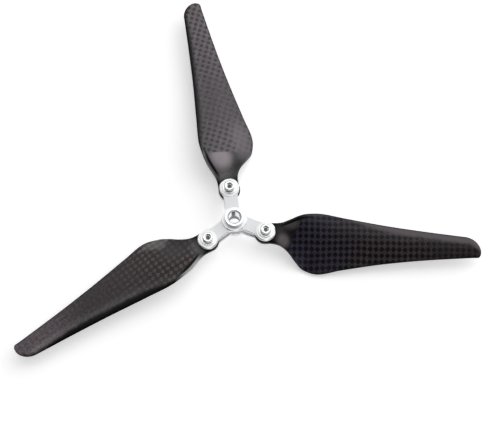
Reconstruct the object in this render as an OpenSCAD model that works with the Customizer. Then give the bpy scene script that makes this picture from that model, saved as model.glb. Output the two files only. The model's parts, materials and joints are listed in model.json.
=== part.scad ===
// Three-blade folding propeller. Two machined three-arm plates clamp the blade roots, and
// each blade folds in the plane of rotation on its own pivot screw. Millimetres. +Z is the
// thrust axis, and the origin is on that axis in the plane where the hub seats on a motor.
// Arm 1 lies along +Y. The arms are numbered counter-clockwise as seen from above, which is
// also the way the propeller turns, so every blade's leading edge is on that side of it.

/* [Propeller] */
// Diameter of the circle that the blade tips sweep
prop_d = 254; // [248:1:260]
// Pitch: how far the propeller would advance in one turn
prop_pitch = 114.3; // [90:0.1:140]
// Distance of the blade pivots from the propeller's axis
pivot_r = 17; // [16.5:0.1:18]

/* [Rest pose] */
// Fold of blade 1 from straight out, positive towards its leading edge
fold_1 = 3.1; // [-10:0.1:20]
// Fold of blade 2 from straight out
fold_2 = -6.1; // [-10:0.1:20]
// Fold of blade 3 from straight out
fold_3 = 17.8; // [-10:0.1:20]

/* [Blade] */
// Radius of the round blade root
root_r = 5.6; // [5.4:0.1:5.7]
// How much narrower each side of the root's tongue is where it meets the blade
root_waist = 0.3; // [0.2:0.1:0.4]
// Length of the root's flat tongue, from the pivot to where the twist begins
root_l = 5.5; // [5:0.1:6]
// Thickness of the root between its two thrust washers
root_t = 3.5; // [3.3:0.05:3.5]
// Blade thickness where the root has faired into the widest chord
belly_t = 2.4; // [2:0.1:2.8]
// Blade thickness at the tip
tip_t = 1; // [0.8:0.1:1.4]
// Height of the camber line as a share of the chord
camber = 0.05; // [0.02:0.01:0.07]
// Distance from the pivot at which the blade has twisted to its full pitch
twist_end = 22; // [18:1:26]
// Thickness that the trailing edge keeps
edge_t = 0.45; // [0.4:0.05:0.6]
// How far the outermost point of the tip lies behind the blade's axis
tip_sweep = 3.2; // [2:0.1:4]
// Length of the rounding between the leading edge and the tip
tip_round = 8.2; // [6:0.1:10]
// Length of the rounding between the trailing edge and the tip
tip_corner = 1.6; // [1:0.1:3]

/* [Hub] */
// Diameter of the hub's centre disc and of its raised ring
ring_d = 13; // [12.5:0.1:13.5]
// Height of the raised ring above the arms
ring_h = 0.5; // [0.3:0.1:0.8]
// Radius of the round lug at the end of each arm
lug_r = 5.1; // [4.8:0.1:5.2]
// Width of each arm
arm_w = 7.2; // [6.4:0.1:7.6]
// Radius of the fillets between an arm and its lug
lug_fillet = 4; // [3:0.5:5]
// Radius of the fillets between an arm and the centre disc
ring_fillet = 3; // [2:0.5:3.5]
// Thickness of the lower plate
lower_t = 2.5; // [2:0.1:3]
// Thickness of the upper plate
upper_t = 2; // [1.8:0.1:2.5]
// Height of the seat boss that keeps the arms and nuts off the motor
seat_h = 0.6; // [0.4:0.1:1]
// Outer diameter of the spacer ring that holds the two plates apart
spacer_d = 10; // [9:0.1:11]

/* [Shaft bush] */
// Bore for the motor shaft
bore_d = 6; // [5:0.1:6.2]
// Outer diameter of the bush inside the plates
bush_d = 8; // [7.6:0.1:8.4]
// Diameter of the bush's shoulder above the ring
shoulder_d = 9.6; // [9:0.1:11]
// Height of the shoulder above the ring
shoulder_h = 3; // [2:0.1:4]
// Diameter of the countersunk mouth at the top of the bore
mouth_d = 7.4; // [6.8:0.1:8]

/* [Pivots] */
// Nominal diameter of the pivot screws
screw_d = 3; // [2.9:0.1:3]
// Length of the screws under the head
screw_l = 14; // [13.5:0.5:16]
// Diameter of the socket head
head_d = 5.5; // [5.3:0.1:5.6]
// Height of the socket head
head_h = 3; // [2.8:0.1:3.2]
// Hexagon key size across flats
key_af = 2.5; // [2:0.1:2.6]
// Outer diameter of the brass bush pressed into each blade root
pivot_bush_d = 5; // [4.6:0.1:5.4]
// Radial running clearance between the screw and the brass bush
running_gap = 0.03; // [0.02:0.01:0.08]
// Outer diameter of the low-friction thrust washers
thrust_d = 9; // [8:0.1:9.6]
// Thickness of each thrust washer
thrust_t = 0.3; // [0.2:0.05:0.35]
// Free gap between the root and each thrust washer
thrust_gap = 0.05; // [0.05:0.01:0.1]
// Outer diameter of the washer under each screw head
washer_d = 7; // [6.5:0.1:7.2]
// Thickness of that washer
washer_t = 0.5; // [0.4:0.1:0.6]
// Width across flats of the lock nuts
nut_af = 5.5; // [5.3:0.1:5.6]
// Height of the nut's hexagon
nut_h = 2.8; // [2.4:0.1:3]
// Height of the round collar that holds the nylon ring
collar_h = 1.2; // [1:0.1:1.4]

/* [Hidden] */
$fn = 96;
ARMS = [1, 2, 3];
REPEATED = ["blade", "pivot_bush", "pivot_screw", "screw_washer", "lock_nut", "nut_insert",
            "lower_thrust_washer", "upper_thrust_washer"];

// Heights of the stack, from the seat upwards
lower_top = seat_h + lower_t;
root_bottom = lower_top + thrust_t + thrust_gap;
root_mid = root_bottom + root_t / 2;
upper_bottom = root_bottom + root_t + thrust_gap + thrust_t;
upper_top = upper_bottom + upper_t;
ring_top = upper_top + ring_h;
head_bottom = upper_top + washer_t;

hole_d = screw_d + 0.2;
collar_d = 5.3;
insert_d = 4.6;
insert_t = 1;
eps = 0.01;

silver = [0.83, 0.84, 0.86];
polished = [0.75, 0.78, 0.82];
brass = [0.78, 0.62, 0.3];
nylon = [0.93, 0.92, 0.88];
nylon_blue = [0.25, 0.4, 0.75];
carbon = [0.13, 0.13, 0.15];

function arm_angle(k) = 90 + 120 * (k - 1);
function rest_fold(k) = [fold_1, fold_2, fold_3][k - 1];

// Puts a shape made about the origin on the pivot of arm k, turned to that arm's direction
module on_pivot(k) {
    rotate(arm_angle(k)) translate([pivot_r, 0, 0]) children();
}

// ---- Blade ----

// Outline of the blade seen from above, straight out along its own axis: distance from the
// pivot, then the distances of the leading and the trailing edge from that axis
blade_l = prop_d / 2 - pivot_r;
stations = [
    [root_l - 1.5, 4.9, 5], [8, 5.8, 6.3], [12, 7.4, 8.9],
    [16, 9, 12.9], [20, 10, 16.1], [28, 10.7, 18.2], [40, 9.5, 15.8],
    [60, 7.4, 12], [80, 5.8, 9], [104, 4.3, 6.2], [blade_l, 3.9, 5.7]
];
sweep_start = stations[0][0];
lead_round = blade_l - tip_round;
trail_round = blade_l - tip_corner;
sections = 32;
side_points = 11;

// Stretches of the span over which the root's flat slab fairs into the blade
twist_span = [4, twist_end];
thin_span = [6, 22];
foil_span = [5, 18];
bow_span = [8, 22];

function slope(i, c) =
    let (a = stations[max(i - 1, 0)], b = stations[min(i + 1, len(stations) - 1)])
    (b[c] - a[c]) / (b[0] - a[0]);

// Smooth curve through column c of the stations, at distance x from the pivot
function along(x, c) =
    let (i = max([for (j = [0:len(stations) - 2]) if (stations[j][0] <= x) j]),
         p = stations[i], q = stations[i + 1], h = q[0] - p[0], t = (x - p[0]) / h)
    (1 - 3 * t ^ 2 + 2 * t ^ 3) * p[c] + (3 * t ^ 2 - 2 * t ^ 3) * q[c]
    + h * ((t - 2 * t ^ 2 + t ^ 3) * slope(i, c) + (t ^ 3 - t ^ 2) * slope(i + 1, c));

// Share of a quarter-ellipse's depth reached at x, from none at start to all at the tip
function rounding(x, start) =
    x <= start ? 0 : 1 - sqrt(max(0, 1 - ((x - start) / (blade_l - start)) ^ 2));

// Smooth step from 0 at the start of a stretch to 1 at its end
function fair(x, span) =
    let (t = min(max((x - span[0]) / (span[1] - span[0]), 0), 1)) t * t * (3 - 2 * t);
function mix(a, b, t) = a + (b - a) * t;

function lead(x) = mix(along(x, 1), 0.1 - tip_sweep, rounding(x, lead_round));
function trail(x) = mix(along(x, 2), 0.1 + tip_sweep, rounding(x, trail_round));
function twist(x) = atan(prop_pitch / (2 * PI * (pivot_r + x))) * fair(x, twist_span);

// Greatest thickness at x: the root's slab, faired into the belly, then a straight taper
function thickness(x) =
    let (out = (x - twist_end) / (blade_l - twist_end))
    mix(root_t - 0.1, mix(belly_t, tip_t, out), fair(x, thin_span));

// Half-thickness at a share s of the chord behind the leading edge: a slab with rounded
// edges at the root, and an aerofoil with its thickest point at 30% of the chord beyond it
function slab(s) = (1 - abs(2 * s - 1) ^ 6) ^ (1 / 6) / 2;
function foil(s) =
    (2.969 * sqrt(s) - 1.26 * s - 3.516 * s ^ 2 + 2.843 * s ^ 3 - 1.036 * s ^ 4) / 2;
function half_t(s, x) =
    let (t = thickness(x))
    mix(slab(s), max(foil(s), edge_t / t * slab(s)), fair(x, foil_span)) * t;

// One closed section at x: below from leading to trailing edge, then back over the top
function section(x) =
    let (a = twist(x), up = lead(x) / cos(a), chord = (lead(x) + trail(x)) / cos(a),
         bow = camber * fair(x, bow_span))
    [for (side = [-1, 1], i = [0:side_points - 1])
        let (t = side < 0 ? i / side_points : 1 - i / side_points,
             s = (1 - cos(180 * t)) / 2,
             u = up - s * chord,
             w = side * half_t(s, x) + 4 * bow * chord * s * (1 - s))
        [x, u * cos(a) - w * sin(a), u * sin(a) + w * cos(a)]];

module blade_sweep() {
    xs = [for (i = [0:sections]) mix(sweep_start, blade_l, (1 - cos(180 * i / sections)) / 2)];
    n = 2 * side_points;
    points = [for (x = xs) each section(x)];
    walls = [for (j = [0:sections - 1], i = [0:n - 1])
        let (a = j * n + i, b = j * n + (i + 1) % n)
        each i < side_points ? [[a, b, b + n], [a, b + n, a + n]]
                             : [[a, b, a + n], [b, b + n, a + n]]];
    root_cap = [for (i = [n - 1:-1:0]) i];
    tip_cap = [for (i = [0:n - 1]) sections * n + i];
    polyhedron(points, concat(walls, [root_cap, tip_cap]), convexity = 6);
}

// Flat root: round behind the pivot, with a tongue that widens to meet the swept blade
module blade_root() {
    translate([0, 0, -root_t / 2]) linear_extrude(root_t) difference() {
        union() {
            circle(root_r);
            polygon([[0, root_r], [0, -root_r],
                     [root_l, root_waist - root_r - 0.2], [root_l, root_r - root_waist]]);
        }
        circle(d = pivot_bush_d);
    }
}

module blade(k) {
    color(carbon) on_pivot(k) rotate(rest_fold(k)) translate([0, 0, root_mid]) {
        blade_root();
        blade_sweep();
    }
}

// ---- Hub ----

// Fillet patch in the corner between an arm's edge and a disc of radius r about the origin
// of the patch, with the arm running along +X and the fillet of radius f beside it. The
// fillet bites a hair into both, so that it ends inside them and not at a tangent
module corner(r, f) {
    bite = 0.02;
    y = arm_w / 2 + f - bite;
    x = sqrt((r + f - bite) ^ 2 - y ^ 2);
    difference() {
        polygon([[0, 0], [x, 0], [x, y]]);
        translate([x, y]) circle(f);
    }
}

// Outline of a plate: the centre disc, and three arms with their lugs and fillets
module plate_outline() {
    circle(d = ring_d);
    for (k = ARMS) rotate(arm_angle(k)) {
        translate([0, -arm_w / 2]) square([pivot_r, arm_w]);
        translate([pivot_r, 0]) circle(lug_r);
        for (m = [0, 1]) mirror([0, m]) {
            corner(ring_d / 2, ring_fillet);
            translate([pivot_r, 0]) mirror([1, 0]) corner(lug_r, lug_fillet);
        }
    }
}

module plate_holes() {
    translate([0, 0, -eps]) cylinder(d = bush_d, h = ring_top + 1);
    for (k = ARMS) on_pivot(k) translate([0, 0, -eps]) cylinder(d = hole_d, h = ring_top + 1);
}

module lower_plate() {
    color(silver) difference() {
        union() {
            cylinder(d = ring_d, h = seat_h + eps);
            translate([0, 0, seat_h]) linear_extrude(lower_t) plate_outline();
        }
        plate_holes();
    }
}

module upper_plate() {
    color(silver) difference() {
        union() {
            translate([0, 0, upper_bottom]) linear_extrude(upper_t) plate_outline();
            translate([0, 0, upper_top - eps]) cylinder(d = ring_d, h = ring_h + eps);
        }
        plate_holes();
    }
}

// Turned ring between the plates, round the shaft bush
module spacer() {
    color(silver) translate([0, 0, lower_top])
        washer(spacer_d, bush_d, upper_bottom - lower_top);
}

// Turned bush: body through both plates, shoulder above the ring, chamfered edges and mouth
module shaft_bush() {
    body = bush_d / 2;
    shoulder = shoulder_d / 2;
    bore = bore_d / 2;
    mouth = mouth_d / 2;
    top = ring_top + shoulder_h;
    edge = 0.3;
    color(polished) rotate_extrude() polygon([
        [bore, 0], [body - edge, 0], [body, edge], [body, ring_top],
        [shoulder, ring_top], [shoulder, top - edge], [shoulder - edge, top],
        [mouth, top], [bore, top - (mouth - bore)]
    ]);
}

// ---- Pivot hardware ----

// Bush with a true bore, pressed into the blade root
module pivot_bush(k) {
    color(brass) on_pivot(k) translate([0, 0, root_bottom]) difference() {
        cylinder(d = pivot_bush_d, h = root_t);
        translate([0, 0, -1]) cylinder(r = screw_d / 2 + running_gap, h = root_t + 2);
    }
}

module washer(outer, inner, thick) {
    difference() {
        cylinder(d = outer, h = thick);
        translate([0, 0, -1]) cylinder(d = inner, h = thick + 2);
    }
}

module lower_thrust_washer(k) {
    color(nylon) on_pivot(k) translate([0, 0, lower_top]) washer(thrust_d, hole_d, thrust_t);
}

module upper_thrust_washer(k) {
    color(nylon) on_pivot(k) translate([0, 0, upper_bottom - thrust_t])
        washer(thrust_d, hole_d, thrust_t);
}

module screw_washer(k) {
    color(polished) on_pivot(k) translate([0, 0, upper_top]) washer(washer_d, hole_d, washer_t);
}

// Socket-head cap screw: chamfered head with a hexagon socket, plain shank
module pivot_screw(k) {
    edge = 0.3;
    key_depth = 1.4;
    color(polished) on_pivot(k) translate([0, 0, head_bottom]) difference() {
        rotate_extrude() polygon([
            [0, -screw_l], [screw_d / 2 - edge, -screw_l], [screw_d / 2, edge - screw_l],
            [screw_d / 2, 0], [head_d / 2, 0], [head_d / 2, head_h - edge],
            [head_d / 2 - edge, head_h], [0, head_h]
        ]);
        translate([0, 0, head_h - key_depth])
            cylinder(d = key_af / cos(30), h = key_depth + 1, $fn = 6);
    }
}

// Lock nut under the lower plate: hexagon, and a round collar with a pocket for the ring
module lock_nut(k) {
    color(polished) on_pivot(k) translate([0, 0, seat_h]) difference() {
        union() {
            translate([0, 0, -nut_h]) cylinder(d = nut_af / cos(30), h = nut_h, $fn = 6);
            translate([0, 0, -nut_h - collar_h]) cylinder(d = collar_d, h = collar_h + eps);
        }
        translate([0, 0, -nut_h - collar_h - 1]) cylinder(d = screw_d, h = nut_h + collar_h + 2);
        translate([0, 0, -nut_h - insert_t]) cylinder(d = insert_d, h = insert_t);
    }
}

// Nylon ring in the collar that grips the thread
module nut_insert(k) {
    color(nylon_blue) on_pivot(k) translate([0, 0, seat_h - nut_h - insert_t])
        washer(insert_d, screw_d, insert_t);
}

// ---- Assembly ----

lower_plate();
upper_plate();
spacer();
shaft_bush();
for (k = ARMS) {
    blade(k);
    pivot_bush(k);
    pivot_screw(k);
    screw_washer(k);
    lock_nut(k);
    nut_insert(k);
    lower_thrust_washer(k);
    upper_thrust_washer(k);
}
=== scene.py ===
"""Looks of a three-blade folding propeller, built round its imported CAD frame.

Metres, in the frame's own axes: +Z is the thrust axis and arm 1 lies along +Y. Every piece
stands for one CAD node, has that node's place and size, and rides on that node's body.
"""
import json
import math

import bmesh
import bpy
from mathutils import Matrix, Vector


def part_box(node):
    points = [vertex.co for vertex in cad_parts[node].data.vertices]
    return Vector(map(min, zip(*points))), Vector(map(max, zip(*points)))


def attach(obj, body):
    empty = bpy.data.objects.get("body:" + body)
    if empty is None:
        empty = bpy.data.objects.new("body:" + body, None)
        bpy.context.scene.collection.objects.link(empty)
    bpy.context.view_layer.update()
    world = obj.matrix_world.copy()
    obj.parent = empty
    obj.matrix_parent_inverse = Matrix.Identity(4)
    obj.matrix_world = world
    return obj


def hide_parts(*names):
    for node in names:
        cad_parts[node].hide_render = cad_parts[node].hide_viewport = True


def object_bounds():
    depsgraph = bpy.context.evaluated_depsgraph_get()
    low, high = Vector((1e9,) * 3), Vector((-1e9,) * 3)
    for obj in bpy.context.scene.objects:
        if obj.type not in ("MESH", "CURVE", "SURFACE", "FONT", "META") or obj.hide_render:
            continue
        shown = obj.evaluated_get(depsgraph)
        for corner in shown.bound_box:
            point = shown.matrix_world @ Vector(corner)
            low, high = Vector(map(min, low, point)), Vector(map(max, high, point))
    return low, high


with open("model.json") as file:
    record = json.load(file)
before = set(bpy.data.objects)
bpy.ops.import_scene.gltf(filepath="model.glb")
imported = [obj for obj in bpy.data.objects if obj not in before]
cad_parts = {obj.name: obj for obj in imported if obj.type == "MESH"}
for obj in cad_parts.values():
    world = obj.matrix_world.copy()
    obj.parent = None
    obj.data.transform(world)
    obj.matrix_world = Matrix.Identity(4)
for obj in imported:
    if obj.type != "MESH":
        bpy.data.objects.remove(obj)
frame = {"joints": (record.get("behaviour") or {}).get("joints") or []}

CAD_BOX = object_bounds()
MM = 0.001


# ---- The frame's measures ----

def low(node):
    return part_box(node)[0].z


def high(node):
    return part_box(node)[1].z


def radius(node):
    lowest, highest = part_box(node)
    return (highest.x - lowest.x) / 2


ARMS = (1, 2, 3)
JOINTS = dict(zip(ARMS, frame["joints"]))
PIVOT = {k: Vector(JOINTS[k]["pos_m"]) for k in ARMS}
PIVOT_R = PIVOT[1].xy.length
ROOT_MID = PIVOT[1].z

# How far each blade is folded from straight out in the rest pose, towards its leading edge
FOLD = {1: math.radians(3.1), 2: math.radians(-6.1), 3: math.radians(17.8)}


def arm_angle(k):
    return math.radians(90 + 120 * (k - 1))


def mix(a, b, t):
    return a + (b - a) * t


# ---- Meshes ----

SHARP = math.radians(38)
MERGE = 2e-7
SLIVER = 1e-8
ROUND_STEPS = 4


def new_piece(bm, name, materials):
    """Object made of a finished mesh: outward normals, smooth faces, sharp edges by angle."""
    bmesh.ops.remove_doubles(bm, verts=bm.verts, dist=MERGE)
    bmesh.ops.dissolve_degenerate(bm, edges=bm.edges, dist=SLIVER)
    bmesh.ops.recalc_face_normals(bm, faces=bm.faces)
    for face in bm.faces:
        face.smooth = True
    for edge in bm.edges:
        edge.smooth = len(edge.link_faces) == 2 and edge.calc_face_angle(0) < SHARP
    mesh = bpy.data.meshes.new(name)
    bm.to_mesh(mesh)
    bm.free()
    for item in materials:
        mesh.materials.append(item)
    piece = bpy.data.objects.new(name, mesh)
    bpy.context.scene.collection.objects.link(piece)
    return piece


def place(piece, node, body, matrix=None):
    """Puts a piece where its CAD node is, in that node's stead."""
    if matrix is not None:
        piece.matrix_world = matrix
    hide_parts(node)
    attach(piece, body)


def loft(bm, rows, closed=False):
    """Faces between rows of corners. A row of one corner is a point where the skin ends."""
    count = max(len(row) for row in rows)
    pairs = list(zip(rows, rows[1:]))
    if closed:
        pairs.append((rows[-1], rows[0]))
    for a, b in pairs:
        for i in range(count):
            j = (i + 1) % count
            corners = (a[i % len(a)], a[j % len(a)], b[j % len(b)], b[i % len(b)])
            bm.faces.new(list(dict.fromkeys(corners)))
    return bm


def turned(rings, segments=96, closed=False):
    """Mesh of rings about the Z axis. A ring is (radius, height), or a function that gives
    them for an angle, and a radius of 0 is a point on the axis."""
    bm = bmesh.new()
    rows = []
    for ring in rings:
        if not callable(ring) and ring[0] == 0:
            rows.append([bm.verts.new((0, 0, ring[1]))])
            continue
        row = []
        for i in range(segments):
            angle = 2 * math.pi * i / segments
            r, z = ring(angle) if callable(ring) else ring
            row.append(bm.verts.new((r * math.cos(angle), r * math.sin(angle), z)))
        rows.append(row)
    return loft(bm, rows, closed)


def soften(corners, cut):
    """Closed outline with each corner rounded, from a distance cut before it to one after."""
    points = []
    for i, corner in enumerate(corners):
        here = Vector(corner)
        before = Vector(corners[i - 1]) - here
        after = Vector(corners[(i + 1) % len(corners)]) - here
        start = here + before.normalized() * cut
        end = here + after.normalized() * cut
        for n in range(ROUND_STEPS + 1):
            t = n / ROUND_STEPS
            points.append(start * (1 - t) ** 2 + here * 2 * t * (1 - t) + end * t ** 2)
    return points


def ring_mesh(inner, outer, bottom, top, cut):
    """Turned ring of rectangular section with rounded edges."""
    corners = [(inner, bottom), (outer, bottom), (outer, top), (inner, top)]
    return turned(soften(corners, cut), closed=True)


# ---- Materials ----

class Nodes:
    """Short ways to add nodes to a node tree."""

    def __init__(self, tree):
        self.tree = tree

    def add(self, kind, settings=None, **inputs):
        node = self.tree.nodes.new(kind)
        for key, value in (settings or {}).items():
            setattr(node, key, value)
        for key, value in inputs.items():
            self.feed(node.inputs[key.replace("_", " ")], value)
        return node

    def feed(self, socket, value):
        """Gives a socket a constant, or links it to another."""
        if isinstance(value, bpy.types.NodeSocket):
            self.tree.links.new(value, socket)
        else:
            socket.default_value = value

    def math(self, operation, *values):
        node = self.add("ShaderNodeMath", {"operation": operation})
        for socket, value in zip(node.inputs, values):
            self.feed(socket, value)
        return node.outputs[0]

    def blend(self, share, a, b):
        """Number between a and b."""
        node = self.add("ShaderNodeMix")
        for socket, value in zip((node.inputs[0], node.inputs[2], node.inputs[3]), (share, a, b)):
            self.feed(socket, value)
        return node.outputs[0]

    def tint(self, share, a, b, how="MIX"):
        """Colour between a and b."""
        node = self.add("ShaderNodeMix", {"data_type": "RGBA", "blend_type": how})
        for socket, value in zip((node.inputs[0], node.inputs[6], node.inputs[7]), (share, a, b)):
            self.feed(socket, value)
        return node.outputs[2]

    def tinge(self, colour, by):
        """Colour times another."""
        return self.tint(1, colour, by, "MULTIPLY")

    def step(self, value, start, end):
        """0 below start, 1 above end and smooth between them."""
        node = self.add("ShaderNodeMapRange", {"interpolation_type": "SMOOTHSTEP"},
                        Value=value, From_Min=start, From_Max=end)
        return node.outputs[0]

    def own(self):
        """The piece's own coordinates."""
        return self.add("ShaderNodeTexCoord").outputs["Object"]

    def uv(self, name):
        """One of the mesh's maps."""
        return self.add("ShaderNodeUVMap", {"uv_map": name}).outputs[0]

    def split(self, vector):
        return self.add("ShaderNodeSeparateXYZ", Vector=vector).outputs

    def length(self, vector):
        node = self.add("ShaderNodeVectorMath", {"operation": "LENGTH"}, Vector=vector)
        return node.outputs["Value"]

    def noise(self, vector, scale, detail):
        node = self.add("ShaderNodeTexNoise", Vector=vector, Scale=scale, Detail=detail)
        return node.outputs[0]

    def bump(self, height, distance, strength):
        node = self.add("ShaderNodeBump", Height=height, Distance=distance, Strength=strength)
        return node.outputs[0]

    def crown(self, value, power):
        """Ridge across each unit of value: 0 at its ends and 1 in the middle, the flatter
        on top the higher the power."""
        centred = self.math("MULTIPLY_ADD", self.math("FRACT", value), 2, -1)
        return self.math("SUBTRACT", 1, self.math("POWER", self.math("ABSOLUTE", centred), power))

    def near(self, value, middle, reach):
        """1 near the middle, falling to 0 at the reach on either side."""
        off = self.math("ABSOLUTE", self.math("SUBTRACT", value, middle))
        return self.step(off, reach, reach * 0.3)

    def spot(self, flat, middle_x, middle_y, reach_x, reach_y):
        """Soft-edged oval on a flat map."""
        local = self.add("ShaderNodeMapping", {"vector_type": "TEXTURE"}, Vector=flat,
                         Location=(middle_x, middle_y, 0), Scale=(reach_x, reach_y, 1))
        return self.step(self.length(local.outputs[0]), 1, 0.3)


class Graph(Nodes):
    """Nodes of a material. Its shader starts with the given constants."""

    def __init__(self, name, colour, metallic, roughness, **sockets):
        self.material = bpy.data.materials.new(name)
        self.material.use_nodes = True
        super().__init__(self.material.node_tree)
        self.shader = self.tree.nodes["Principled BSDF"]
        self.use(Base_Color=(*colour, 1), Metallic=metallic, Roughness=roughness, **sockets)

    def use(self, **sockets):
        """Feeds the shader's sockets, and gives the material."""
        for socket, value in sockets.items():
            self.feed(self.shader.inputs[socket.replace("_", " ")], value)
        return self.material


def shade(colour, factor):
    return (*(c * factor for c in colour), 1)


def blasted(name, colour, roughness, grain, depth, metallic=1.0):
    """Finely grained surface with a little colour and gloss variation."""
    g = Graph(name, colour, metallic, roughness)
    own = g.own()
    fine = g.noise(own, 1 / grain, 3)
    broad = g.noise(own, 220, 3)
    return g.use(
        Base_Color=g.tint(broad, shade(colour, 0.94), shade(colour, 1.04)),
        Roughness=g.blend(broad, roughness * 0.85, roughness * 1.15),
        Normal=g.bump(fine, depth, 0.35),
    )


def lathed(name, colour, roughness, pitch, depth):
    """Metal with fine rings left by turning, about the piece's own axis."""
    g = Graph(name, colour, 1.0, roughness)
    own = g.own()
    x, y, z = g.split(own)
    away = g.length(g.add("ShaderNodeCombineXYZ", X=x, Y=y).outputs[0])
    run = g.math("ADD", away, z)
    wander = g.noise(own, 500, 2)
    phase = g.math("MULTIPLY_ADD", run, 2 * math.pi / pitch, wander)
    grooves = g.math("SINE", phase)
    return g.use(
        Base_Color=g.tint(wander, shade(colour, 0.93), shade(colour, 1.05)),
        Roughness=g.blend(wander, roughness * 0.7, roughness * 1.3),
        Normal=g.bump(grooves, depth, 0.5),
    )


def faced(name, colour, roughness, pitch, depth):
    """Flat face with the rings of a facing cut, laid out by the mesh's turning map."""
    g = Graph(name, colour, 0.4, roughness)
    away, _, _ = g.split(g.uv("turning"))
    wander = g.noise(g.own(), 400, 2)
    phase = g.math("MULTIPLY_ADD", away, 2 * math.pi * MM / pitch, wander)
    return g.use(
        Base_Color=g.tint(wander, shade(colour, 0.96), shade(colour, 1.04)),
        Roughness=g.blend(wander, roughness * 0.8, roughness * 1.2),
        Normal=g.bump(g.math("SINE", phase), depth, 0.4),
    )


TOW = 2.09 * MM

# How each blade's cloth looks, in millimetres and degrees.
# lay: how far the cloth is turned from 45 degrees to the blade.
# start, slant: where it begins, and how much later towards the leading edge.
# tones: its dark and light greys; besides the cloth's own tone, their difference from blade to
# blade is painted light and shade.
# fill: small for full dots, large for round ones.
# raised: 1 if the light tows stand out, 0 if the dark ones do.
# gloss: strength of the coat.
# faint: middle, reach and depth of the stretch where the weave fades.
# band: middle, reach, width and grey of the painted reflection along the leading edge, and how
# matt it is.
# lip: grey of the painted highlight on the neck's leading edge, nearly black on blade 3.
# tip: how many times lighter the painted sheen makes the cloth towards the tip.
# hues: tints of the part near the root and of the rest.
# spots of painted sheen: middle, reach and grey of each painted highlight or painted dark
# reflection on the coat.
CLOTH = {
    1: dict(lay=-24, start=20.5, slant=0, tones=(0.015, 0.112), fill=0.6, raised=0, gloss=1,
            faint=(50, 20, 0.6), band=(64, 60, 2.1, 0.012, 0.5), lip=0.16, tip=1.25,
            hues=((1, 0.97, 0.98), (1.03, 0.95, 1)),
            painted_sheens=((18, 1, 9, 8, 0.36), (27, -12, 15, 7, 0.15), (12, -7, 8, 4, 0.002))),
    2: dict(lay=4, start=7.5, slant=0.1, tones=(0.012, 0.09), fill=0.5, raised=1, gloss=1,
            faint=(82, 64, 0.85), band=(60, 50, 3.2, 0.002, 0.9), lip=0.35, tip=2.4,
            hues=((1.15, 0.97, 0.85), (1.05, 0.97, 0.98)),
            painted_sheens=((16, -6, 12, 10, 0.06),)),
    3: dict(lay=3, start=15.3, slant=0.4, tones=(0.001, 0.045), fill=0.16, raised=0,
            gloss=0.25, faint=(98, 25, 0.4), band=(84, 50, 3.2, 0.11, 0), lip=0.02, tip=1,
            hues=((0.8, 0.8, 1.35), (1.12, 0.95, 0.97)),
            painted_sheens=((13, 5, 6, 4, 0.1), (9, -4, 5, 5, 0.16))),
}

# Stretches of every blade, in millimetres from the pivot
# Painted shade: the root darkens towards the clevis, where it lies shaded between the plates
ROOT_SHADE = (9, 3)
HUE_CHANGE = (40, 68)
# Painted sheen: where the cloth turns lighter towards the tip
TIP_SHEEN_SPAN = (66, 98)
NECK_MIDDLE = 15
NECK_REACH = 11

# Grey of the faded weave: the share of the way from the dark tone to the light one
MIDDLE_TONE = 0.42


def grey(value):
    """Grey with the carbon's slight purple cast."""
    return (value * 1.06, value * 0.93, value * 1.02, 1)


def weave(g, flat, lay, shift):
    """Plain weave over a flat map: 1 where the second set of tows is on top and 0 where the
    first is, then the surface's height and its fibres."""
    x, y, _ = g.split(flat)
    turn = math.radians(45 + lay)
    sway = g.math("MULTIPLY_ADD", g.noise(flat, 0.05, 1), 0.5, shift)

    def tows(across_x, across_y):
        part = g.math("MULTIPLY_ADD", x, across_x * MM / TOW, sway)
        return g.math("MULTIPLY_ADD", y, across_y * MM / TOW, part)

    def fibre(along_tow, across_tow):
        ends = g.add("ShaderNodeCombineXYZ", X=g.math("MULTIPLY", along_tow, 1.2),
                     Y=g.math("MULTIPLY", across_tow, 20))
        return g.noise(ends.outputs[0], 1, 2)

    u = tows(math.cos(turn), math.sin(turn))
    v = tows(-math.sin(turn), math.cos(turn))
    cells = g.math("ADD", g.math("FLOOR", u), g.math("FLOOR", v))
    parity = g.math("FLOORED_MODULO", cells, 2)
    over = g.math("MULTIPLY", g.crown(u, 2), g.crown(v, 5))
    under = g.math("MULTIPLY", g.crown(u, 5), g.crown(v, 2))
    return (parity, g.blend(parity, over, under), g.blend(parity, fibre(u, v), fibre(v, u)))


def cloth_colour(g, look, flat, parity, height, fibres):
    """Dots of the weave, which fade and change their tint along the blade."""
    x, _, _ = g.split(flat)
    dark, light = look["tones"]
    middle_grey = grey(mix(dark, light, MIDDLE_TONE))
    full = g.step(height, 0, look["fill"])
    if look["raised"]:
        dots = g.math("MULTIPLY", full, parity)
    else:
        dots = g.math("SUBTRACT", 1, g.math("MULTIPLY", full, g.math("SUBTRACT", 1, parity)))
    middle, reach, depth = look["faint"]
    fading = g.math("MULTIPLY", g.near(x, middle, reach), depth)
    colour = g.tint(fading, g.tint(dots, grey(dark), grey(light)), middle_grey)
    near_hue, far_hue = look["hues"]
    patchy = g.math("MULTIPLY_ADD", g.noise(flat, 0.05, 1), 30, x)
    outer = g.step(patchy, *HUE_CHANGE)
    colour = g.tinge(colour, g.tint(outer, (*near_hue, 1), (*far_hue, 1)))
    return g.tint(g.math("MULTIPLY", fibres, 0.5), colour, middle_grey)


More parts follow.
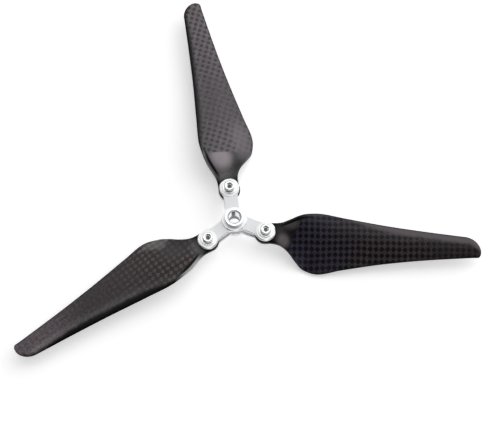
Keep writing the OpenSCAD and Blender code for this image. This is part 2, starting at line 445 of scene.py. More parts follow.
def resin_and_sheen(g, look, flat, woven, colour):
    """Mottle over the carbon's coat, and painted sheen: lighter towards the tip, with painted
    highlights and painted dark reflections in spots. Spots in the bare part stop where the cloth
    starts."""
    x, _, _ = g.split(flat)
    mottle = g.step(g.noise(flat, 0.8, 3), 0.3, 0.7)
    white = (1, 1, 1)
    colour = g.tinge(colour, g.tint(mottle, shade(white, 0.7), shade(white, 1.3)))
    # Painted sheen, lighter towards the tip
    tip_sheen = g.step(x, *TIP_SHEEN_SPAN)
    colour = g.tinge(colour, g.tint(tip_sheen, shade(white, 1), shade(white, look["tip"])))
    # Painted highlights and painted dark reflections on the coat, in spots
    for middle_x, middle_y, reach_x, reach_y, tone in look["painted_sheens"]:
        share = g.math("MULTIPLY", g.spot(flat, middle_x, middle_y, reach_x, reach_y), 0.65)
        if middle_x < look["start"]:
            share = g.math("MULTIPLY", share, g.math("SUBTRACT", 1, woven))
        colour = g.tint(share, colour, grey(tone))
    return colour


def edge_trim(g, look, flat, colour):
    """Painted reflection in a stripe along the leading edge, painted highlight on the neck's lip,
    painted shade in a line along the neck and over the root, and the dark rim that follows the
    edges. Gives the colour with them on it, and how matt they are. The mesh's margin map holds
    the distances to the leading and trailing edges, in millimetres."""
    x, _, _ = g.split(flat)
    to_lead, to_trail, _ = g.split(g.uv("margin"))
    # Painted reflection: a stripe along the leading edge, dark where it stands for the dark front
    # and light on blade 3
    middle, reach, width, tone, matt = look["band"]
    wide = g.math("MULTIPLY", g.near(x, middle, reach), width)
    uneven = g.math("MULTIPLY_ADD", g.noise(flat, 0.25, 2), 1.6, -0.8)
    inside = g.math("ADD", g.math("SUBTRACT", wide, to_lead), uneven)
    band = g.step(inside, -1.7, 1.1)
    colour = g.tint(band, colour, grey(tone))
    neck = g.near(x, NECK_MIDDLE, NECK_REACH)
    # Painted highlight on the neck's leading edge
    lip = g.math("MULTIPLY", neck, g.step(to_lead, 1.3, 0.7))
    colour = g.tint(lip, colour, shade((1, 1, 1), look["lip"]))
    # Painted shade: a dark line along the neck just inside the leading edge, as a crease there
    # would be shaded
    crease_shade = g.math("MULTIPLY", neck, g.near(to_lead, 1.9, 0.9))
    colour = g.tint(crease_shade, colour, grey(0.002))
    rim = g.step(g.math("MINIMUM", to_lead, to_trail), 0.8, 0.2)
    rim = g.math("MULTIPLY", rim, g.math("SUBTRACT", 1, neck))
    # Painted shade over the root between the plates
    root = g.step(x, *ROOT_SHADE)
    # The painted shades of the crease and the root, and the dark rim along the edges
    dark = g.math("MAXIMUM", g.math("MAXIMUM", crease_shade, root), g.math("MULTIPLY", rim, 0.7))
    colour = g.tint(dark, colour, grey(0.0015))
    dull = g.math("MAXIMUM", g.math("MULTIPLY", band, matt), g.math("MULTIPLY", dark, 0.95))
    return colour, dull


def carbon(k):
    """Plain weave under a gloss coat, and lengthwise fibre where the cloth hasn't started.
    The mesh's lay map holds each point's place along and across the blade, in millimetres."""
    look = CLOTH[k]
    g = Graph(f"carbon_{k}", (0.02, 0.02, 0.022), 0.0, 0.4, Specular_IOR_Level=0.06,
              Coat_Weight=1.0, Coat_Roughness=0.06)
    flat = g.uv("lay")
    x, y, _ = g.split(flat)
    parity, height, fibres = weave(g, flat, look["lay"], 20 + 7.3 * k)
    cloth = cloth_colour(g, look, flat, parity, height, fibres)
    lengthwise = g.add("ShaderNodeMapping", Vector=flat, Scale=(0.04, 1.6, 1)).outputs[0]
    streaks = g.noise(lengthwise, 1, 2)
    dark, light = look["tones"]
    bare = g.tint(streaks, grey(dark), grey(mix(dark, light, MIDDLE_TONE)))
    begun = g.math("MULTIPLY_ADD", y, -look["slant"], x)
    woven = g.step(begun, look["start"] - 0.4, look["start"] + 0.4)
    colour = resin_and_sheen(g, look, flat, woven, g.tint(woven, bare, cloth))
    colour, dull = edge_trim(g, look, flat, colour)
    relief = g.math("MULTIPLY_ADD", fibres, 0.25, height)
    return g.use(
        Base_Color=colour,
        Coat_Weight=g.math("MULTIPLY_ADD", dull, -look["gloss"], look["gloss"]),
        Roughness=g.blend(woven, 0.3, g.blend(parity, 0.45, 0.33)),
        Normal=g.bump(g.blend(woven, streaks, relief), 0.04 * MM, 0.6),
    )


SILVER = (0.92, 0.925, 0.94)
satin = blasted("satin_aluminium", SILVER, 0.42, 0.12 * MM, 0.02 * MM, 0.3)
bright_cut = lathed("bright_cut_aluminium", SILVER, 0.2, 0.08 * MM, 0.004 * MM)
faced_aluminium = faced("faced_aluminium", (0.95, 0.95, 0.95), 0.3, 0.12 * MM, 0.006 * MM)
polished = lathed("polished_aluminium", (0.84, 0.9, 0.92), 0.11, 0.1 * MM, 0.002 * MM)


# Where the bore's painted shade starts and where it's full: by height, beside the middle line
# of the painted dark reflection and away from the axis
PAINTED_SHADE_HEIGHTS = (6.6 * MM, 4.8 * MM)
DARK_REFLECTION_ASIDE = (1.2 * MM, 0.7 * MM)
DARK_REFLECTION_BEHIND = (0, 0.5 * MM)
PAINTED_SHADE_RAGGED = 1.2 * MM


def shaded_bore(metal_colour, shade_colour):
    """Bore wall with painted shade over its lower part and a painted dark reflection in a streak
    down its far side.
    """
    g = Graph("shaded_bore", metal_colour, 1.0, 0.25)
    own = g.own()
    x, y, z = g.split(own)
    # Painted shade: the wall darkens lower down the bore, with a ragged edge
    ragged = g.math("MULTIPLY_ADD", g.noise(own, 900, 2), PAINTED_SHADE_RAGGED, z)
    depth = g.step(ragged, *PAINTED_SHADE_HEIGHTS)
    # Painted dark reflection: a streak down the far side of the wall
    aside = g.step(g.math("ABSOLUTE", x), *DARK_REFLECTION_ASIDE)
    dark_reflection = g.math("MULTIPLY", aside, g.step(y, *DARK_REFLECTION_BEHIND))
    share = g.math("MAXIMUM", depth, dark_reflection)
    return g.use(Base_Color=g.tint(share, (*metal_colour, 1), (*shade_colour, 1)),
                 Roughness=g.blend(share, 0.2, 0.4))


bore_wall = shaded_bore((0.92, 0.95, 0.95), (0.15, 0.15, 0.145))
screw_steel = lathed("screw_steel", (0.86, 0.87, 0.88), 0.2, 0.1 * MM, 0.003 * MM)
# Painted shade: dark steel for the bottom of the screws' sockets
painted_socket_shade = blasted("painted_socket_shade", (0.12, 0.12, 0.125), 0.4, 0.2 * MM, 0.01 * MM)
# Painted shade: the nut's steel is made darker because the nut sits in the shade under the hub
shaded_nut_steel = blasted("shaded_nut_steel", (0.5, 0.51, 0.53), 0.3, 0.2 * MM, 0.01 * MM)
washer_steel = lathed("washer_steel", (0.8, 0.81, 0.82), 0.24, 0.15 * MM, 0.004 * MM)
brass = lathed("brass", (0.83, 0.62, 0.28), 0.22, 0.1 * MM, 0.003 * MM)
white_nylon = blasted("white_nylon", (0.82, 0.81, 0.77), 0.45, 0.3 * MM, 0.01 * MM, 0.0)
blue_nylon = blasted("blue_nylon", (0.05, 0.14, 0.5), 0.4, 0.3 * MM, 0.01 * MM, 0.0)


# ---- Blades ----

ROOT_R = 5.6 * MM
ROOT_T = high("pivot_bush_1") - low("pivot_bush_1")
BORE_R = radius("pivot_bush_1")
BELLY_T = 2.4 * MM
TIP_T = 1 * MM
EDGE_T = 0.45 * MM
CAMBER = 0.05
PITCH = 114.3 * MM
BLADE_L = 110 * MM
TIP_SWEEP = 3.2 * MM
LEAD_ROUND = BLADE_L - 8.2 * MM
TRAIL_ROUND = BLADE_L - 1.6 * MM
BELLY = 30 * MM
ROOT_EDGE = 10

# Points across each side of the blade, and rows from each of these places to the next:
# the round end, the pivot, the belly, the leading edge's rounding and the tip
SIDE_POINTS = 48
END_ROWS, ROOT_ROWS, SPAN_ROWS, TIP_ROWS = 24, 80, 90, 40

# Stretches over which the root's flat slab fairs into the blade, in millimetres
TWIST_SPAN = (4, 22)
THIN_SPAN = (9, 23)
FOIL_SPAN = (10, 25)
BOW_SPAN = (8, 22)

# Distance from the pivot, then the leading and trailing edges' distances from the axis
STATIONS = [[n * MM for n in row] for row in (
    (0, 5.6, 5.6), (4, 5.3, 5.4), (8, 5.8, 6.3), (12, 7.4, 8.9),
    (16, 9, 12.9), (20, 10, 16.1), (28, 10.7, 18.2), (40, 9.5, 15.8),
    (60, 7.4, 12), (80, 5.8, 9), (104, 4.3, 6.2), (110, 3.9, 5.7),
)]


def smooth(t):
    """Smooth step from 0 at t = 0 to 1 at t = 1."""
    t = min(max(t, 0), 1)
    return t * t * (3 - 2 * t)


def fair(x, span):
    """Smooth step from 0 at the start of a span to 1 at its end."""
    start, end = span
    return smooth((x / MM - start) / (end - start))


def slope(i, c):
    a = STATIONS[max(i - 1, 0)]
    b = STATIONS[min(i + 1, len(STATIONS) - 1)]
    return (b[c] - a[c]) / (b[0] - a[0])


def along(x, c):
    """Smooth curve through column c of the stations."""
    i = max(j for j in range(len(STATIONS) - 1) if STATIONS[j][0] <= x)
    p, q = STATIONS[i], STATIONS[i + 1]
    h = q[0] - p[0]
    t = (x - p[0]) / h
    ends = (1 - 3 * t ** 2 + 2 * t ** 3) * p[c] + (3 * t ** 2 - 2 * t ** 3) * q[c]
    bends = (t - 2 * t ** 2 + t ** 3) * slope(i, c) + (t ** 3 - t ** 2) * slope(i + 1, c)
    return ends + h * bends


def rounding(x, start):
    """Share of a quarter-ellipse's depth reached at x, from none at start to all at the tip."""
    if x <= start:
        return 0
    return 1 - math.sqrt(max(0, 1 - ((x - start) / (BLADE_L - start)) ** 2))


def slab(s):
    """Half-thickness of a slab with rounded edges, as a share of its thickness."""
    return (1 - abs(2 * s - 1) ** 6) ** (1 / 6) / 2


def foil(s):
    """Half-thickness of an aerofoil with its thickest point at 30% of the chord."""
    return (2.969 * math.sqrt(s) - 1.26 * s - 3.516 * s ** 2 + 2.843 * s ** 3 - 1.036 * s ** 4) / 2


def edges(x):
    """Distances of the leading and trailing edges from the blade's axis."""
    if x < 0:
        return (math.sqrt(max(0, ROOT_R ** 2 - x ** 2)),) * 2
    return (mix(along(x, 1), -TIP_SWEEP, rounding(x, LEAD_ROUND)),
            mix(along(x, 2), TIP_SWEEP, rounding(x, TRAIL_ROUND)))


def round_root(x, side, s):
    """Point of the round end behind the pivot."""
    y = edges(x)[0] * (1 - 2 * s)
    edge = min(math.hypot(x, y) / ROOT_R, 1)
    return Vector((x, y, side * ROOT_T / 2 * (1 - edge ** ROOT_EDGE) ** (1 / ROOT_EDGE)))


def swept(x, side, s):
    """Point of the blade proper, a share s of the chord behind its leading edge."""
    lead, trail = edges(x)
    twist = math.atan(PITCH / (2 * math.pi * (PIVOT_R + x))) * fair(x, TWIST_SPAN)
    twist_end = TWIST_SPAN[1] * MM
    taper = (x - twist_end) / (BLADE_L - twist_end)
    thickness = mix(ROOT_T, mix(BELLY_T, TIP_T, taper), fair(x, THIN_SPAN))
    lip = max(0, x - BLADE_L + TIP_T / 2) / (TIP_T / 2)
    thickness *= math.sqrt(max(0, 1 - lip ** 2))
    thin_edge = EDGE_T / BELLY_T * slab(s)
    half = mix(slab(s), max(foil(s), thin_edge), fair(x, FOIL_SPAN)) * thickness
    chord = (lead + trail) / math.cos(twist)
    u = lead / math.cos(twist) - s * chord
    w = side * half + 4 * CAMBER * fair(x, BOW_SPAN) * chord * s * (1 - s)
    return Vector((x, u * math.cos(twist) - w * math.sin(twist),
                   u * math.sin(twist) + w * math.cos(twist)))


def blade_mesh():
    """Closed skin lofted from the root's round end to the tip."""
    quarter = math.pi / 2
    xs = [-ROOT_R * math.cos(quarter * i / END_ROWS) for i in range(1, END_ROWS)]
    xs += [BELLY * i / ROOT_ROWS for i in range(ROOT_ROWS)]
    xs += [mix(BELLY, LEAD_ROUND, i / SPAN_ROWS) for i in range(SPAN_ROWS)]
    xs += [mix(LEAD_ROUND, BLADE_L, math.sin(quarter * i / TIP_ROWS)) for i in range(TIP_ROWS)]
    bm = bmesh.new()
    rows = []
    for x in xs:
        row = []
        for side in (-1, 1):
            for i in range(SIDE_POINTS):
                t = i / SIDE_POINTS if side < 0 else 1 - i / SIDE_POINTS
                s = (1 - math.cos(math.pi * t)) / 2
                point = round_root(x, side, s) if x < 0 else swept(x, side, s)
                row.append(bm.verts.new(point))
        rows.append(row)
    rows = [[bm.verts.new((-ROOT_R, 0, 0))], *rows]
    rows.append([bm.verts.new(swept(BLADE_L, 1, 0.5))])
    return loft(bm, rows)


def cut_bore(piece, bore_r, half_depth):
    """Drills a piece through along its own Z axis."""
    rings = [(0, -half_depth), (bore_r, -half_depth), (bore_r, half_depth), (0, half_depth)]
    cutter = new_piece(turned(rings), "cutter", [])
    cutter.matrix_world = piece.matrix_world
    drill = piece.modifiers.new("bore", "BOOLEAN")
    drill.object = cutter
    drill.solver = "EXACT"
    graph = bpy.context.evaluated_depsgraph_get()
    drilled = bpy.data.meshes.new_from_object(piece.evaluated_get(graph))
    piece.modifiers.clear()
    bpy.data.objects.remove(cutter)
    bm = bmesh.new()
    bm.from_mesh(drilled)
    bpy.data.meshes.remove(drilled)
    return bm


def drilled_blade():
    """Blade with its bore and two maps in millimetres: lay for the places along and across
    it, margin for the distances to its leading and trailing edges."""
    whole = new_piece(blade_mesh(), "whole_blade", [])
    bm = cut_bore(whole, BORE_R, ROOT_T)
    bpy.data.objects.remove(whole)
    lay_map = bm.loops.layers.uv.new("lay")
    margin_map = bm.loops.layers.uv.new("margin")
    for face in bm.faces:
        for corner in face.loops:
            x, y, _ = corner.vert.co
            lead, trail = edges(min(x, BLADE_L))
            corner[lay_map].uv = (x / MM, y / MM)
            corner[margin_map].uv = ((lead - y) / MM, (y + trail) / MM)
    return bm


drilled = drilled_blade()
for k in ARMS:
    turn = Matrix.Rotation(arm_angle(k) + FOLD[k], 4, "Z")
    bm = drilled.copy()
    bm.transform(Matrix.Translation(PIVOT[k]) @ turn)
    blade = new_piece(bm, f"carbon_blade_{k}", [carbon(k)])
    place(blade, f"blade_{k}", JOINTS[k]["child"])
drilled.free()


# ---- Hub plates ----

RING_R = 6.5 * MM
LUG_R = 5.1 * MM
ARM_W = 7.2 * MM
LUG_FILLET = 4 * MM
RING_FILLET = 3 * MM
BUSH_R = 4 * MM
HOLE_R = 1.6 * MM
RIM_CUT = 0.35 * MM
WEB_DEPTH = 0.15 * MM
EDGE_CUT = 0.2 * MM
PAD_R = LUG_R - RIM_CUT
FOOT_R = PAD_R + WEB_DEPTH
SATIN, BRIGHT, FACED = 0, 1, 2
FILLET_STEPS = 16
DISC_STEPS = 24
LUG_STEPS = 32
PAD_STEPS = 40


def arc(centre, r, start, end, steps):
    """Points on an arc, each with the direction that leads to it from the centre."""
    for i in range(steps + 1):
        angle = mix(start, end, i / steps)
        out = Vector((math.cos(angle), math.sin(angle)))
        yield Vector(centre) + out * r, out


def half_arm():
    """One side of an arm along +X, from the centre disc to the end of the lug. Each point
    has the outline's normal there, and a share that fades the rim's chamfer in."""
    y1 = ARM_W / 2 + RING_FILLET
    x1 = math.sqrt((RING_R + RING_FILLET) ** 2 - y1 ** 2)
    y2 = ARM_W / 2 + LUG_FILLET
    x2 = PIVOT_R - math.sqrt((LUG_R + LUG_FILLET) ** 2 - y2 ** 2)
    down = -math.pi / 2
    web = []
    inner = list(arc((x1, y1), RING_FILLET, math.atan2(-y1, -x1), down, FILLET_STEPS))
    for i, (point, out) in enumerate(inner):
        web.append((point, -out, smooth(i / FILLET_STEPS)))
    outer = arc((x2, y2), LUG_FILLET, down, math.atan2(-y2, PIVOT_R - x2), FILLET_STEPS)
    web += [(point, -out, 1) for point, out in outer]
    start = math.atan2(y2, x2 - PIVOT_R)
    lug = [(point, out, 1) for point, out in arc((PIVOT_R, 0), LUG_R, start, 0, LUG_STEPS)]
    return web, lug


def mirrored(points):
    return [(Vector((p.x, -p.y)), Vector((n.x, -n.y)), share) for p, n, share in points]


class Plate:
    """Three-armed plate with its flat face at z = 0. Its other face has a raised disc in the
    middle, a faced pad round each screw hole, and a shallow milled web between them."""

    def __init__(self, thick, boss):
        self.bm = bmesh.new()
        self.turning = self.bm.loops.layers.uv.new("turning")
        self.thick = thick
        self.boss = boss
        self.web_z = thick - WEB_DEPTH
        self.web, self.lug = half_arm()
        self.tangent = math.atan2(self.web[0][0].y, self.web[0][0].x)
        self.gap_end = math.radians(120) - self.tangent
        self.outline = []
        self.disc = []
        self.pads = []
        self.mouths = []

    def mesh(self):
        for k in ARMS:
            self.arm(Matrix.Rotation(arm_angle(k), 2))
        self.walls()
        self.raised_disc()
        for pad in self.pads:
            self.faced_hole(*pad)
        self.flat_face()
        return self.bm

    def at(self, points, heights):
        """New corners over flat points, each at its own height."""
        return [self.bm.verts.new((p.x, p.y, z)) for p, z in zip(points, heights)]

    def level(self, points, z):
        return self.at(points, [z] * len(points))

    def strip(self, a, b, finish, loop=True, centre=None):
        """Faces between two rows of corners, with the turning map about a centre if given."""
        for i in range(len(a) if loop else len(a) - 1):
            j = (i + 1) % len(a)
            face = self.bm.faces.new((a[i], a[j], b[j], b[i]))
            face.material_index = finish
            if centre is not None:
                for corner in face.loops:
                    away = (corner.vert.co.xy - centre).length
                    corner[self.turning].uv = (away / MM, 0)

    def band(self, centre, around, rings, finish, loop=True, mapped=False):
        """Faces between two rings about a centre. A ring is (radius, height), and around
        has the directions of its points."""
        a, b = [self.level([centre + out * r for out in around], z) for r, z in rings]
        self.strip(a, b, finish, loop, centre if mapped else None)

    def arm(self, turn):
        """Milled web of one arm and the slope up to its pad. Keeps the arm's part of the
        outline, the disc's edge across the arm, and the pad."""
        web, lug = self.web, self.lug
        arm = mirrored(web) + mirrored(lug)[1:] + lug[::-1][1:] + web[::-1][1:]
        arm = [(turn @ p, turn @ n, share) for p, n, share in arm]
        gap = list(arc((0, 0), RING_R, self.tangent, self.gap_end, DISC_STEPS))[1:-1]
        self.outline += arm + [(turn @ p, turn @ n, 0) for p, n in gap]
        edge = arc((0, 0), RING_R, self.tangent, -self.tangent, DISC_STEPS)
        across = [turn @ p for p, _ in edge]
        self.disc.append((across[::-1], turn))

        centre = turn @ Vector((PIVOT_R, 0))
        start = math.atan2(lug[0][0].y, lug[0][0].x - PIVOT_R)
        inward = [turn @ n for _, n in arc((0, 0), 1, start, 2 * math.pi - start, PAD_STEPS)]
        first, last = len(web) - 1, len(web) + 2 * len(lug) - 3
        outward = [n for _, n, _ in arm[first:last + 1]]
        self.pads.append((centre, inward[:-1] + outward[:-1], PAD_R, HOLE_R, self.thick))

        sides = self.inset(arm)
        foot = [centre + out * FOOT_R for out in inward]
        loop = sides[:first] + foot[::-1] + sides[last + 1:] + across[1:-1]
        face = self.bm.faces.new(self.level(loop, self.web_z))
        face.material_index = SATIN
        slope_up = [(FOOT_R, self.web_z), (PAD_R, self.thick)]
        self.band(centre, inward, slope_up, BRIGHT, loop=False)
        self.band(centre, outward, slope_up, BRIGHT, loop=False)

    def inset(self, outline):
        """Where the rim's chamfer meets the web."""
        return [p - n * max(RIM_CUT * share - WEB_DEPTH, 0) for p, n, share in outline]

    def walls(self):
        """Sides between the flat face's chamfer and the rim's."""
        points = [p for p, _, _ in self.outline]
        chamfered = [self.thick - RIM_CUT * share for _, _, share in self.outline]
        base = self.level([p - n * EDGE_CUT for p, n, _ in self.outline], 0)
        wall_low = self.level(points, EDGE_CUT)
        wall_high = self.at(points, [min(z, self.web_z) for z in chamfered])
        rim = self.level(self.inset(self.outline), self.web_z)
        self.strip(base, wall_low, BRIGHT)
        self.strip(wall_low, wall_high, SATIN)
        self.strip(wall_high, rim, BRIGHT)

    def raised_disc(self):
        """Disc's side and chamfer. Its top is faced like the pads."""
        around = []
        for across, turn in self.disc:
            gap = list(arc((0, 0), 1, self.tangent, self.gap_end, DISC_STEPS))[1:-1]
            around += [p.normalized() for p in across] + [turn @ n for _, n in gap]
        middle = Vector((0, 0))
        shoulder = (RING_R, self.boss - EDGE_CUT)
        top = (RING_R - EDGE_CUT, self.boss)
        self.band(middle, around, [(RING_R, self.web_z), shoulder], SATIN)
        self.band(middle, around, [shoulder, top], BRIGHT)
        self.pads.append((middle, around, top[0], BUSH_R, self.boss))

    def faced_hole(self, centre, around, rim_r, hole_r, z):
        """Faced pad with a hole through the plate, chamfered at both ends."""
        cut = EDGE_CUT / 2
        mouth_r = hole_r + cut
        self.band(centre, around, [(rim_r, z), (mouth_r, z)], FACED, mapped=True)
        wall = [(mouth_r, z), (hole_r, z - cut), (hole_r, cut), (mouth_r, 0)]
        for rings in zip(wall, wall[1:]):
            self.band(centre, around, rings, BRIGHT)
        self.mouths.append([centre + out * mouth_r for out in around])

    def flat_face(self):
        """Face at z = 0, inside the outline's chamfer and round the holes."""
        borders = []
        for points in [[p - n * EDGE_CUT for p, n, _ in self.outline], *self.mouths]:
            row = self.level(points, 0)
            borders += [self.bm.edges.new((row[i - 1], row[i])) for i in range(len(row))]
        bmesh.ops.triangle_fill(self.bm, edges=borders, use_beauty=True)


PLATE_FINISH = [satin, bright_cut, faced_aluminium]
upper_low, upper_high = low("upper_plate"), high("upper_plate")
upper = Plate(low("screw_washer_1") - upper_low, upper_high - upper_low).mesh()
upper = new_piece(upper, "upper_arm_plate", PLATE_FINISH)
place(upper, "upper_plate", "hub",
      Matrix.Translation((0, 0, upper_low)))

lower_high = high("lower_plate")
lower = Plate(lower_high - high("lock_nut_1"), lower_high).mesh()
bmesh.ops.scale(lower, vec=(1, 1, -1), verts=lower.verts)
lower = new_piece(lower, "lower_arm_plate", PLATE_FINISH)
place(lower, "lower_plate", "hub",
      Matrix.Translation((0, 0, lower_high)))

spacer = ring_mesh(BUSH_R, radius("spacer"), low("spacer"), high("spacer"), 0.2 * MM)
place(new_piece(spacer, "plate_spacer", [satin]), "spacer", "hub")


# ---- Shaft bush ----

BORE_WALL_R = 3 * MM
MOUTH_R = 3.7 * MM
BUSH_ROUND = 0.22 * MM
BUSH_SEGMENTS = 128

# Places of the bush's second and third materials, and of the screw's second
SHADED_BORE_WALL, DULL = 1, 2
SHADED_SOCKET = 1


def bush_mesh():
    """Bush with a shoulder over the upper plate, a bore wall with painted shade and a painted dark
    reflection, and a dull countersink.
    """
    bottom, top = low("shaft_bush"), high("shaft_bush")
    seat = high("upper_plate")
    shoulder = radius("shaft_bush")
    sink = top - (MOUTH_R - BORE_WALL_R)
    corners = [(BORE_WALL_R, bottom), (BUSH_R, bottom), (BUSH_R, seat), (shoulder, seat),
               (shoulder, top), (MOUTH_R, top), (BORE_WALL_R, sink)]
    bm = turned(soften(corners, BUSH_ROUND), BUSH_SEGMENTS, closed=True)
    for face in bm.faces:
        centre = face.calc_center_median()
        away = centre.xy.length
        # The bore wall below its rim takes the material with painted shade and a painted dark
        # reflection
        if away < BORE_WALL_R + 0.02 * MM and bottom + 0.3 * MM < centre.z:
            face.material_index = SHADED_BORE_WALL
        elif away < MOUTH_R + 0.05 * MM and sink - 0.2 * MM < centre.z:
            face.material_index = DULL
    return bm


bush = new_piece(bush_mesh(), "polished_shaft_bush", [polished, bore_wall, satin])
place(bush, "shaft_bush", "hub")


# ---- Pivot hardware ----

SCREW_R = 1.5 * MM
THREAD_PITCH = 0.5 * MM
THREAD_DEPTH = 0.28 * MM
KEY_AF = 2.5 * MM
KEY_DEPTH = 1.4 * MM
KNURLS = 36
KNURL_DEPTH = 0.07 * MM
NUT_AF = 5.5 * MM
COLLAR_R = 2.65 * MM
POCKET_R = 2.3 * MM
LIP_R = 1.85 * MM
SCREW_SEGMENTS = KNURLS * 4
RUNNING_GAP = 0.03 * MM
HEAD_TURN = math.radians(37)

# Screw: rows of corners per turn of the thread and over the head's rounded edge, then the
# shape of its ends and its socket
THREAD_ROWS = 8
DOME_ROWS = 8
LEAD_IN = 0.2 * MM
HEAD_EDGE = 0.3 * MM
HEAD_DOME = 0.6 * MM
SOCKET_FLOOR_R = KEY_AF * 0.42
SOCKET_DRILLED = 0.45 * MM

# Nut: how far out its faces stay flat, as a share of the way to its flats, how steeply its
# corners fall away from there, and the thickness of the crimped lip
NUT_FACE = 0.96
NUT_FALL = math.tan(math.radians(30))
COLLAR_WALL = 0.2 * MM


def hexagon(across_flats, angle):
    """Distance from the middle of a hexagon to its edge in one direction."""
    turn = (angle + math.pi / 6) % (math.pi / 3) - math.pi / 6
    return across_flats / 2 / math.cos(turn)


def saw(t):
    """Triangle wave from 0 to 1 and back, once per unit."""
    return 1 - abs(2 * (t % 1) - 1)


def screw_mesh(bottom, thread_top, seat, top, head_r):
    """Socket-head cap screw with a cut thread, a knurled head and a hexagon socket, whose
    drilled bottom is coloured dark as painted shade in the socket."""

    def thread(z):
        fade = min((z - bottom) / THREAD_PITCH, (thread_top - z) / THREAD_PITCH, 1)

        def at(angle):
            groove = saw(z / THREAD_PITCH - angle / (2 * math.pi))
            return SCREW_R - THREAD_DEPTH * (1 - fade * groove), z
        return at

    def knurl(z):
        return lambda angle: (head_r - KNURL_DEPTH * saw(angle * KNURLS / (2 * math.pi)), z)

    def socket(z):
        return lambda angle: (hexagon(KEY_AF, angle), z)

    core_r = SCREW_R - THREAD_DEPTH
    rows = int((thread_top - bottom) / THREAD_PITCH * THREAD_ROWS)
    corner_r = KEY_AF / 2 / math.cos(math.pi / 6)
    dome_z = top - HEAD_DOME
    floor_z = top - KEY_DEPTH
    rings = [(0, bottom), (core_r - LEAD_IN / 2, bottom)]
    rings += [thread(mix(bottom + LEAD_IN, thread_top, i / rows)) for i in range(rows + 1)]
    rings += [(core_r, thread_top + 0.1 * MM), (SCREW_R, thread_top + 2 * HEAD_EDGE)]
    rings += [(SCREW_R, seat - 0.05 * MM), (head_r - HEAD_EDGE / 2, seat)]
    rings += [(head_r, seat + HEAD_EDGE / 2), (head_r, seat + HEAD_EDGE)]
    rings += [knurl(seat + 1.4 * HEAD_EDGE), knurl(dome_z - 0.3 * HEAD_EDGE)]
    rings += [(head_r, dome_z)]
    for i in range(1, DOME_ROWS + 1):
        tilt = math.pi / 2 * i / DOME_ROWS
        inset = HEAD_DOME * (1 - math.cos(tilt))
        rings.append((head_r - inset, dome_z + HEAD_DOME * math.sin(tilt)))
    rings += [(corner_r + 0.2 * MM, top), socket(top - 0.14 * MM), socket(floor_z)]
    rings += [(SOCKET_FLOOR_R, floor_z), (0, floor_z - SOCKET_DRILLED)]
    bm = turned(rings, SCREW_SEGMENTS)
    for face in bm.faces:
        centre = face.calc_center_median()
        # Painted shade: the socket's drilled bottom takes the dark steel
        if centre.xy.length < SOCKET_FLOOR_R and centre.z > seat:
            face.material_index = SHADED_SOCKET
    return bm


def nut_mesh(top, shoulder, bottom):
    """Lock nut: hexagon with its corners turned off, and a collar crimped over a pocket."""
    flat_r = NUT_AF / 2 * NUT_FACE

    def corners(z, way):
        def at(angle):
            r = hexagon(NUT_AF, angle)
            return r, z + way * (r - flat_r) * NUT_FALL
        return at

    pocket_low = bottom + COLLAR_WALL
    rings = [(SCREW_R, top - 0.25 * MM), (SCREW_R + 0.25 * MM, top), (flat_r, top)]
    rings += [corners(top, -1), corners(shoulder, 1), (flat_r, shoulder)]
    rings += [(COLLAR_R - 0.1 * MM, shoulder), (COLLAR_R, shoulder - 0.1 * MM)]
    rings += [(COLLAR_R, bottom + 0.5 * MM), (COLLAR_R - 0.08 * MM, bottom + 0.25 * MM)]
    rings += [(COLLAR_R - 0.25 * MM, bottom + 0.08 * MM), (COLLAR_R - 0.5 * MM, bottom)]
    rings += [(LIP_R + 0.08 * MM, bottom), (LIP_R, bottom + 0.08 * MM), (LIP_R, pocket_low)]
    rings += [(POCKET_R, pocket_low), (POCKET_R, shoulder), (SCREW_R, shoulder)]
    return turned(rings, SCREW_SEGMENTS, closed=True)


def hardware(k):
    """Every piece on one pivot screw: its name, mesh, materials, node, body and slot."""
    def heights(node):
        return low(f"{node}_{k}"), high(f"{node}_{k}")

    def ring(node, inner, cut):
        return ring_mesh(inner, radius(f"{node}_{k}"), *heights(node), cut)

    thread_top = high(f"lock_nut_{k}")
    insert_low, insert_high = heights("nut_insert")
    screw_low, screw_high = heights("pivot_screw")
    seat = high(f"screw_washer_{k}")
    nut_low, nut_high = heights("lock_nut")
    blade_body = JOINTS[k]["child"]
    return [
        ("cap_screw", screw_mesh(screw_low, thread_top, seat, screw_high,
                                 radius(f"pivot_screw_{k}")),
         (screw_steel, painted_socket_shade), "pivot_screw", "hub", "screw_steel"),
        ("head_washer", ring("screw_washer", HOLE_R, 0.12 * MM),
         (washer_steel,), "screw_washer", "hub", "washer_steel"),
        ("nylon_lock_nut", nut_mesh(nut_high, insert_high, nut_low),
         (shaded_nut_steel,), "lock_nut", "hub", "screw_steel"),
        ("locking_ring", ring_mesh(SCREW_R, POCKET_R - 0.01 * MM, insert_low, insert_high,
                                   0.12 * MM),
         (blue_nylon,), "nut_insert", "hub", "nylon_blue"),
        ("lower_slip_washer", ring("lower_thrust_washer", HOLE_R, 0.08 * MM),
         (white_nylon,), "lower_thrust_washer", "hub", "nylon_white"),
        ("upper_slip_washer", ring("upper_thrust_washer", HOLE_R, 0.08 * MM),
         (white_nylon,), "upper_thrust_washer", "hub", "nylon_white"),
        ("root_bush", ring("pivot_bush", SCREW_R + RUNNING_GAP, 0.15 * MM),
         (brass,), "pivot_bush", blade_body, "brass_bush"),
    ]


for k in ARMS:
    turn = Matrix.Rotation(HEAD_TURN * k, 4, "Z")
    axis = Matrix.Translation((PIVOT[k].x, PIVOT[k].y, 0))
    for name, mesh, finishes, node, body, slot in hardware(k):
        place(new_piece(mesh, f"{name}_{k}", finishes), f"{node}_{k}", body, axis @ turn)


# ---- Floor, light and camera ----

FLOOR_Z = CAD_BOX[0].z
FLOOR_SIZE = 6
PAPER = (0.93, 0.93, 0.925)
PALE_PAPER = (0.94, 0.94, 0.935)
PAPER_GLOW = 0.45


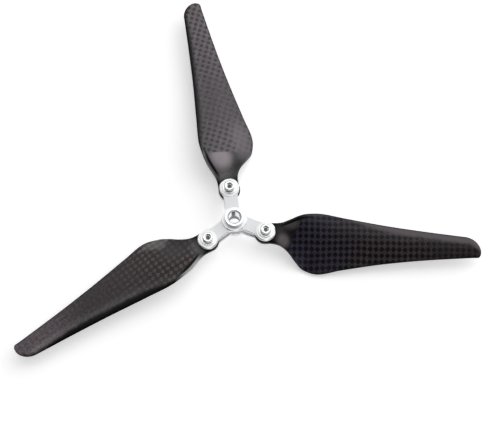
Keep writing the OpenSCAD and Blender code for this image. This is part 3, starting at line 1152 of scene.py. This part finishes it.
def floor_piece():
    """White paper under the part, with a weak light of its own."""
    g = Graph("floor", PAPER, 0.0, 0.7, Specular_IOR_Level=0.1,
              Emission_Color=(1, 1, 1, 1), Emission_Strength=PAPER_GLOW)
    mottle = g.noise(g.own(), 8, 2)
    g.use(Base_Color=g.tint(mottle, (*PAPER, 1), (*PALE_PAPER, 1)))
    bm = bmesh.new()
    bmesh.ops.create_grid(bm, x_segments=8, y_segments=8, size=FLOOR_SIZE)
    floor = new_piece(bm, "studio_floor", [g.material])
    floor.location.z = FLOOR_Z


def direction(azimuth, elevation):
    """Unit vector at an angle round from +X and an angle above the floor, in degrees."""
    a, e = math.radians(azimuth), math.radians(elevation)
    return Vector((math.cos(a) * math.cos(e), math.sin(a) * math.cos(e), math.sin(e)))


def softbox(name, azimuth, elevation, distance, size, radiance):
    """Large soft lamp that lights surfaces but shows in no reflection, as if diffused."""
    light = bpy.data.lights.new(name, "AREA")
    light.shape = "RECTANGLE"
    light.size, light.size_y = size
    light.energy = radiance * math.pi * size[0] * size[1]
    lamp = bpy.data.objects.new(name, light)
    towards = direction(azimuth, elevation)
    lamp.location = towards * distance
    lamp.rotation_euler = towards.to_track_quat("Z", "Y").to_euler()
    lamp.visible_glossy = False
    bpy.context.scene.collection.objects.link(lamp)


# Soft glows in the studio's surroundings: azimuth, elevation, strength and tightness
GLOWS = ((15, 40, 1.4, 6), (100, 30, 0.35, 6), (80, 76, 2.1, 22), (-88, 18, 1.1, 16))
AMBIENT = 0.04

# The pale horizon's strength, and the degrees above the floor where it starts and is full
HORIZON = 0.9
HORIZON_FADE = (9, 4)


def studio_world():
    """Dim surroundings with soft glows and a pale horizon."""
    world = bpy.data.worlds.new("studio")
    bpy.context.scene.world = world
    world.use_nodes = True
    g = Nodes(world.node_tree)
    where = g.add("ShaderNodeTexCoord").outputs["Generated"]
    total = AMBIENT
    for azimuth, elevation, strength, tightness in GLOWS:
        facing = g.add("ShaderNodeVectorMath", {"operation": "DOT_PRODUCT"})
        g.feed(facing.inputs[0], where)
        g.feed(facing.inputs[1], direction(azimuth, elevation))
        lobe = g.math("POWER", g.math("MAXIMUM", facing.outputs["Value"], 0), tightness)
        total = g.math("MULTIPLY_ADD", lobe, strength, total)
    rise = g.split(where)[2]
    low_down = g.step(rise, *(math.sin(math.radians(n)) for n in HORIZON_FADE))
    total = g.math("MULTIPLY_ADD", low_down, HORIZON, total)
    background = g.tree.nodes["Background"]
    g.feed(background.inputs["Color"], (1, 1, 1, 1))
    g.feed(background.inputs["Strength"], total)


# The photograph's camera, as fitted to the part's outline. It looks at the hub's middle from
# a distance, nearly overhead and a little in front; the angles are in degrees.
VIEW_AZIMUTH = -9.52
VIEW_ELEVATION = 72.575
VIEW_ROLL = 1.082
VIEW_DISTANCE = 0.53138
SENSOR = 36
LENS = 77.15
LENS_SHIFT = (0.0171, 0.0119)


def photo_camera():
    azimuth, elevation, roll = map(math.radians, (VIEW_AZIMUTH, VIEW_ELEVATION, VIEW_ROLL))
    back = Vector((math.sin(azimuth) * math.cos(elevation),
                   -math.cos(azimuth) * math.cos(elevation), math.sin(elevation)))
    right = Vector((math.cos(azimuth), math.sin(azimuth), 0))
    up = back.cross(right)
    side = right * math.cos(roll) + up * math.sin(roll)
    top = up * math.cos(roll) - right * math.sin(roll)
    data = bpy.data.cameras.new("camera")
    data.sensor_width = SENSOR
    data.lens = LENS
    data.shift_x, data.shift_y = LENS_SHIFT
    data.clip_start = 0.01
    camera = bpy.data.objects.new("camera", data)
    place_at = Matrix.Translation(Vector((0, 0, ROOT_MID)) + back * VIEW_DISTANCE)
    camera.matrix_world = place_at @ Matrix((side, top, back)).transposed().to_4x4()
    bpy.context.scene.collection.objects.link(camera)
    bpy.context.scene.camera = camera


floor_piece()
studio_world()
softbox("key", azimuth=40, elevation=45, distance=1.2, size=(1, 1), radiance=1)
photo_camera()
bpy.context.scene.view_settings.view_transform = "Standard"
